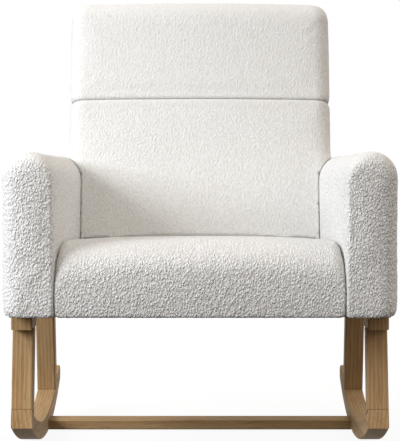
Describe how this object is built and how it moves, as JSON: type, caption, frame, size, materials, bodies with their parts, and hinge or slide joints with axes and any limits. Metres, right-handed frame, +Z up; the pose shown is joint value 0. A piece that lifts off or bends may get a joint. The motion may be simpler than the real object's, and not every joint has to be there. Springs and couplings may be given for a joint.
{
  "type": "upholstered rocking chair",
  "caption": "High-back upholstered rocking armchair with domed padded arms, a headrest above a sewn seam, and an oak-tone base of leaning legs on curved runners.",
  "frame": {"origin": "on the floor, under the middle of the chair's box", "axes": "+Z up, +Y towards the back, +X towards the sitter's left, so the chair faces -Y"},
  "size_m": [0.75, 0.79, 0.942],
  "materials": {
    "boucle": "looped wool-like boucle, matte, off-white",
    "oak": "natural oak tone, satin lacquer",
    "hardboard": "brown hardboard, smooth side out",
    "plywood": "raw birch plywood",
    "foam": "upholstery foam, open cell",
    "zinc_steel": "zinc-plated steel",
    "spring_steel": "oiled spring steel",
    "elastic_webbing": "woven elastic strap",
    "dust_cloth": "black non-woven cloth",
    "beech_dowel": "fluted beech dowel",
    "frame_timber": "sawn pine"
  },
  "bodies": {
    "root": {"arm_bolts": "zinc_steel", "arm_inserts": "zinc_steel", "back_bolts": "zinc_steel", "back_bottom_rail": "frame_timber", "back_middle_rail": "frame_timber", "back_nuts": "zinc_steel", "back_straps": "elastic_webbing", "back_top_rail": "frame_timber", "backing_board": "hardboard", "base_bolts": "zinc_steel", "base_tee_nuts": "zinc_steel", "dust_cover": "dust_cloth", "headrest_cover": "boucle", "headrest_foam": "foam", "left_arm_base_rail": "frame_timber", "left_arm_cover": "boucle", "left_arm_front_panel": "plywood", "left_arm_liner": "hardboard", "left_arm_padding": "foam", "left_arm_rear_panel": "plywood", "left_arm_top_board": "plywood", "left_back_post": "frame_timber", "left_back_wing": "frame_timber", "left_base_rail": "oak", "left_front_leg": "oak", "left_rear_leg": "oak", "left_runner": "oak", "left_seat_rail": "frame_timber", "leg_dowels": "beech_dowel", "lower_back_cover": "boucle", "lower_back_foam": "foam", "rear_panel": "boucle", "right_arm_base_rail": "frame_timber", "right_arm_cover": "boucle", "right_arm_front_panel": "plywood", "right_arm_liner": "hardboard", "right_arm_padding": "foam", "right_arm_rear_panel": "plywood", "right_arm_top_board": "plywood", "right_back_post": "frame_timber", "right_back_wing": "frame_timber", "right_base_rail": "oak", "right_front_leg": "oak", "right_rear_leg": "oak", "right_runner": "oak", "right_seat_rail": "frame_timber", "seat_corner_blocks": "frame_timber", "seat_cover": "boucle", "seat_foam": "foam", "seat_front_rail": "frame_timber", "seat_rear_rail": "frame_timber", "seat_springs": "spring_steel", "spring_clips": "spring_steel", "stretcher": "oak", "stretcher_bolts": "zinc_steel", "stretcher_cross_dowels": "zinc_steel"}
  },
  "joints": []
}
